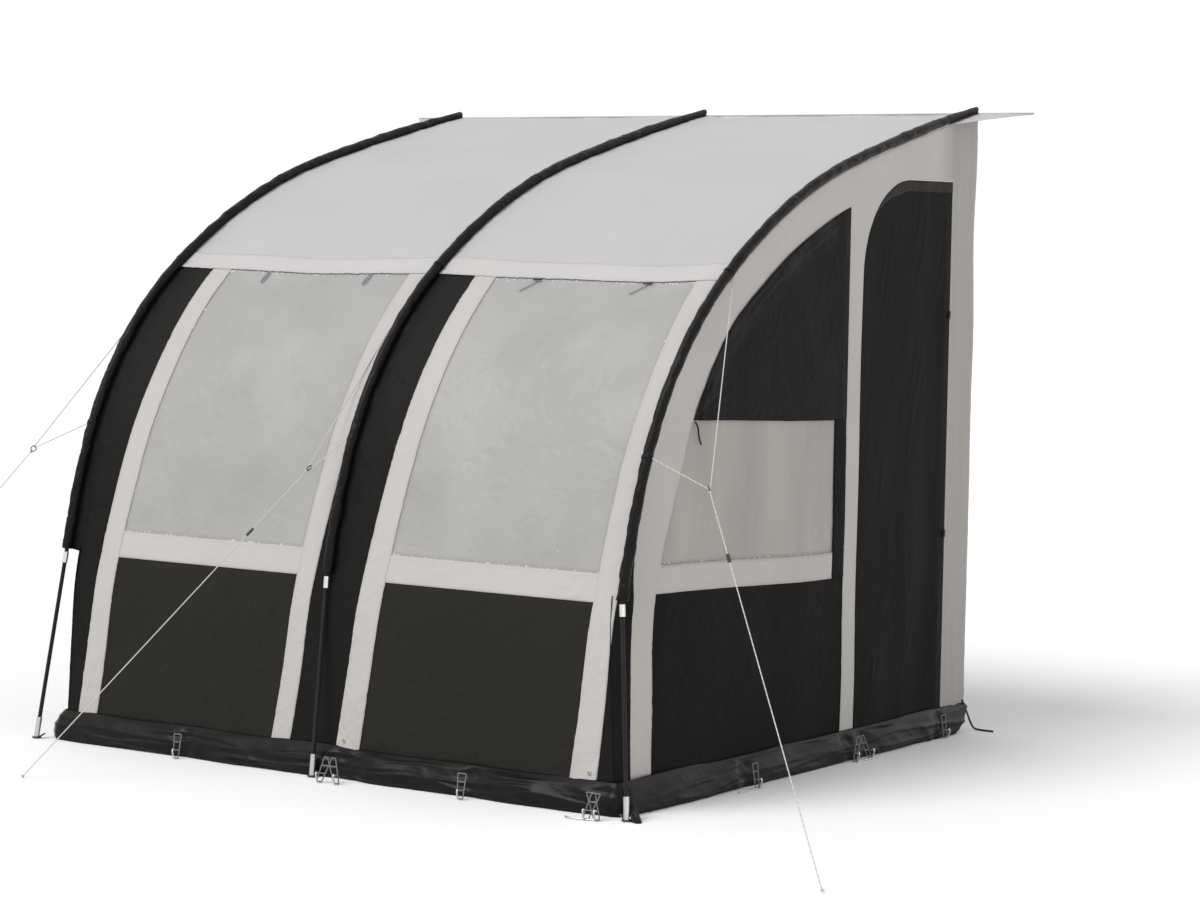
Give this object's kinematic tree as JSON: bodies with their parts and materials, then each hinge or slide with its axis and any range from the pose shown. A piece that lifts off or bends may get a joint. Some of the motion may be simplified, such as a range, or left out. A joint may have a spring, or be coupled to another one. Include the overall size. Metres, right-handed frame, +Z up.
{
  "type": "caravan awning",
  "caption": "Porch awning for a caravan: curved poles in sleeves, pale roof, black and grey cloth walls, side doors, mud skirt and guy lines.",
  "frame": {"origin": "on the ground, in the middle of the box round the awning without its guy lines", "axes": "+X to the right along the caravan's rail, seen from outside; +Y towards the caravan; +Z up"},
  "size_m": [4.7064, 3.2958, 2.5457],
  "materials": {
    "roof_cloth": "coated polyester, matt",
    "pale_cloth": "coated polyester, matt",
    "black_cloth": "coated polyester, matt",
    "sleeve_cloth": "coated polyester, matt",
    "window_film": "soft grey film, satin",
    "skirt_vinyl": "black vinyl, glossy",
    "steel": "zinc plated",
    "aluminium": "bright drawn tube",
    "glass_fibre": "black, satin",
    "cord": "braided",
    "runner_plastic": "moulded"
  },
  "bodies": {
    "shell": {"arch_pole_left": "glass_fibre", "pole_sleeve_left": "sleeve_cloth", "ferrule_left": "aluminium", "lower_pole_left": "glass_fibre", "foot_tube_left": "steel", "front_band_left": "black_cloth", "guy_legs_left": "cord", "guy_line_left": "cord", "guy_ring_left": "steel", "arch_pole_middle": "glass_fibre", "pole_sleeve_middle": "sleeve_cloth", "ferrule_middle": "aluminium", "lower_pole_middle": "glass_fibre", "foot_tube_middle": "steel", "front_band_middle": "black_cloth", "guy_legs_middle": "cord", "guy_line_middle": "cord", "guy_ring_middle": "steel", "arch_pole_right": "glass_fibre", "pole_sleeve_right": "sleeve_cloth", "ferrule_right": "aluminium", "lower_pole_right": "glass_fibre", "foot_tube_right": "steel", "front_band_right": "black_cloth", "guy_legs_right": "cord", "guy_line_right": "cord", "guy_ring_right": "steel", "roof_left": "roof_cloth", "roof_wing_left": "roof_cloth", "front_frame_left": "pale_cloth", "front_window_left": "window_film", "front_panel_left": "black_cloth", "side_frame_left": "pale_cloth", "side_window_left": "window_film", "side_panel_left": "black_cloth", "front_skirt_left": "skirt_vinyl", "side_skirt_left": "skirt_vinyl", "upright_lower_left": "aluminium", "roof_right": "roof_cloth", "roof_wing_right": "roof_cloth", "front_frame_right": "pale_cloth", "front_window_right": "window_film", "front_panel_right": "black_cloth", "side_frame_right": "pale_cloth", "side_window_right": "window_film", "side_panel_right": "black_cloth", "front_skirt_right": "skirt_vinyl", "side_skirt_right": "skirt_vinyl", "upright_lower_right": "aluminium", "keder_bead": "roof_cloth"},
    "door_right": {"door_right": "black_cloth"},
    "side_flap_right": {"side_flap_right": "black_cloth"},
    "upright_upper_right": {"upright_upper_right": "aluminium"},
    "door_left": {"door_left": "black_cloth"},
    "side_flap_left": {"side_flap_left": "black_cloth"},
    "upright_upper_left": {"upright_upper_left": "aluminium"},
    "guy_runner_right": {"guy_runner_right": "runner_plastic"},
    "guy_runner_middle": {"guy_runner_middle": "runner_plastic"},
    "guy_runner_left": {"guy_runner_left": "runner_plastic"}
  },
  "joints": [
    {"name": "door_right_swing", "type": "hinge", "parent": "shell", "child": "door_right", "pos_m": [1.3, 1.1039, 0.1], "axis": [0, 0, 1], "range_deg": [0, 90]},
    {"name": "side_flap_right_swing", "type": "hinge", "parent": "shell", "child": "side_flap_right", "pos_m": [1.3, 0.2909, 1.33], "axis": [0, 0, 1], "range_deg": [0, 90]},
    {"name": "upright_right_slide", "type": "slide", "parent": "shell", "child": "upright_upper_right", "axis": [0, 0, 1], "range_m": [-0.4, 0]},
    {"name": "door_left_swing", "type": "hinge", "parent": "shell", "child": "door_left", "pos_m": [-1.3, 1.1039, 0.1], "axis": [0, 0, -1], "range_deg": [0, 90]},
    {"name": "side_flap_left_swing", "type": "hinge", "parent": "shell", "child": "side_flap_left", "pos_m": [-1.3, 0.2909, 1.33], "axis": [0, 0, -1], "range_deg": [0, 90]},
    {"name": "upright_left_slide", "type": "slide", "parent": "shell", "child": "upright_upper_left", "axis": [0, 0, 1], "range_m": [-0.4, 0]},
    {"name": "guy_runner_right_slide", "type": "slide", "parent": "shell", "child": "guy_runner_right", "axis": [0.5635, -0.4857, -0.6683], "range_m": [-0.15, 0.15]},
    {"name": "guy_runner_middle_slide", "type": "slide", "parent": "shell", "child": "guy_runner_middle", "axis": [-0.4544, -0.5029, -0.7353], "range_m": [-0.15, 0.15]},
    {"name": "guy_runner_left_slide", "type": "slide", "parent": "shell", "child": "guy_runner_left", "axis": [-0.4209, -0.4792, -0.7702], "range_m": [-0.15, 0.15]}
  ]
}
